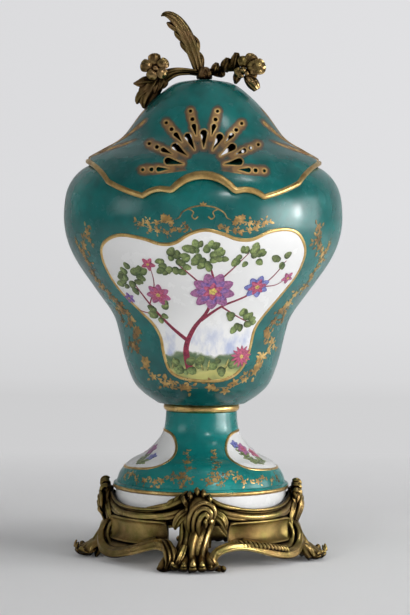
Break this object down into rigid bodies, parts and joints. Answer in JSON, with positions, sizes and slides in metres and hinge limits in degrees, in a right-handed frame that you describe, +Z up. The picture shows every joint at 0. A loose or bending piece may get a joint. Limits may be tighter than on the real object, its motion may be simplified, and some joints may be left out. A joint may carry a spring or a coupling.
{
  "type": "potpourri vase",
  "caption": "Covered potpourri vase of green glazed porcelain on a round pedestal, with a pierced domed lid, a scrolled bronze stand and a bronze flower spray as the lid's handle.",
  "frame": {"origin": "on the floor, at the centre of the stand's four feet, under the vase's axis", "axes": "+Z up along the vase's axis; -Y is the front, where the painted panel and one leg are; +X is the viewer's right"},
  "size_m": [0.198, 0.198, 0.3898],
  "materials": {
    "green_glaze": "glossy turquoise-green glaze with white reserves and gilding",
    "gilding": "burnished gold on porcelain",
    "bronze": "cast, chased and patinated gilt bronze",
    "steel": "plain threaded fasteners",
    "leather": "plain"
  },
  "bodies": {
    "stand_and_vase": {"vase_body": "green_glaze", "pedestal_foot": "green_glaze", "neck_collar": "gilding", "tie_rod": "steel", "rod_pad": "leather", "rod_upper_washer": "steel", "rod_upper_nut": "steel", "rod_lower_washer": "steel", "rod_lower_nut": "steel", "seat_ring": "bronze", "cross_bar": "bronze", "leg_screws": "steel", "leg_front": "bronze", "leg_right": "bronze", "leg_back": "bronze", "leg_left": "bronze", "panel_front_right": "bronze", "panel_back_right": "bronze", "panel_back_left": "bronze", "panel_front_left": "bronze", "top_rail_front_right": "bronze", "top_rail_back_right": "bronze", "top_rail_back_left": "bronze", "top_rail_front_left": "bronze", "lower_rail_front_right": "bronze", "lower_rail_back_right": "bronze", "lower_rail_back_left": "bronze", "lower_rail_front_left": "bronze"},
    "lid": {"lid": "green_glaze", "spray_boss": "bronze", "spray_plume": "bronze", "spray_left_branch": "bronze", "spray_left_flower": "bronze", "spray_left_leaf": "bronze", "spray_right_branch": "bronze", "spray_right_flower": "bronze", "spray_right_buds": "bronze", "spray_right_leaf": "bronze", "spray_stud": "steel", "spray_washer": "steel", "spray_nut": "steel"}
  },
  "joints": [
    {"name": "lid_lift", "type": "slide", "parent": "stand_and_vase", "child": "lid", "axis": [0, 0, 1], "range_m": [0, 0.12]}
  ]
}
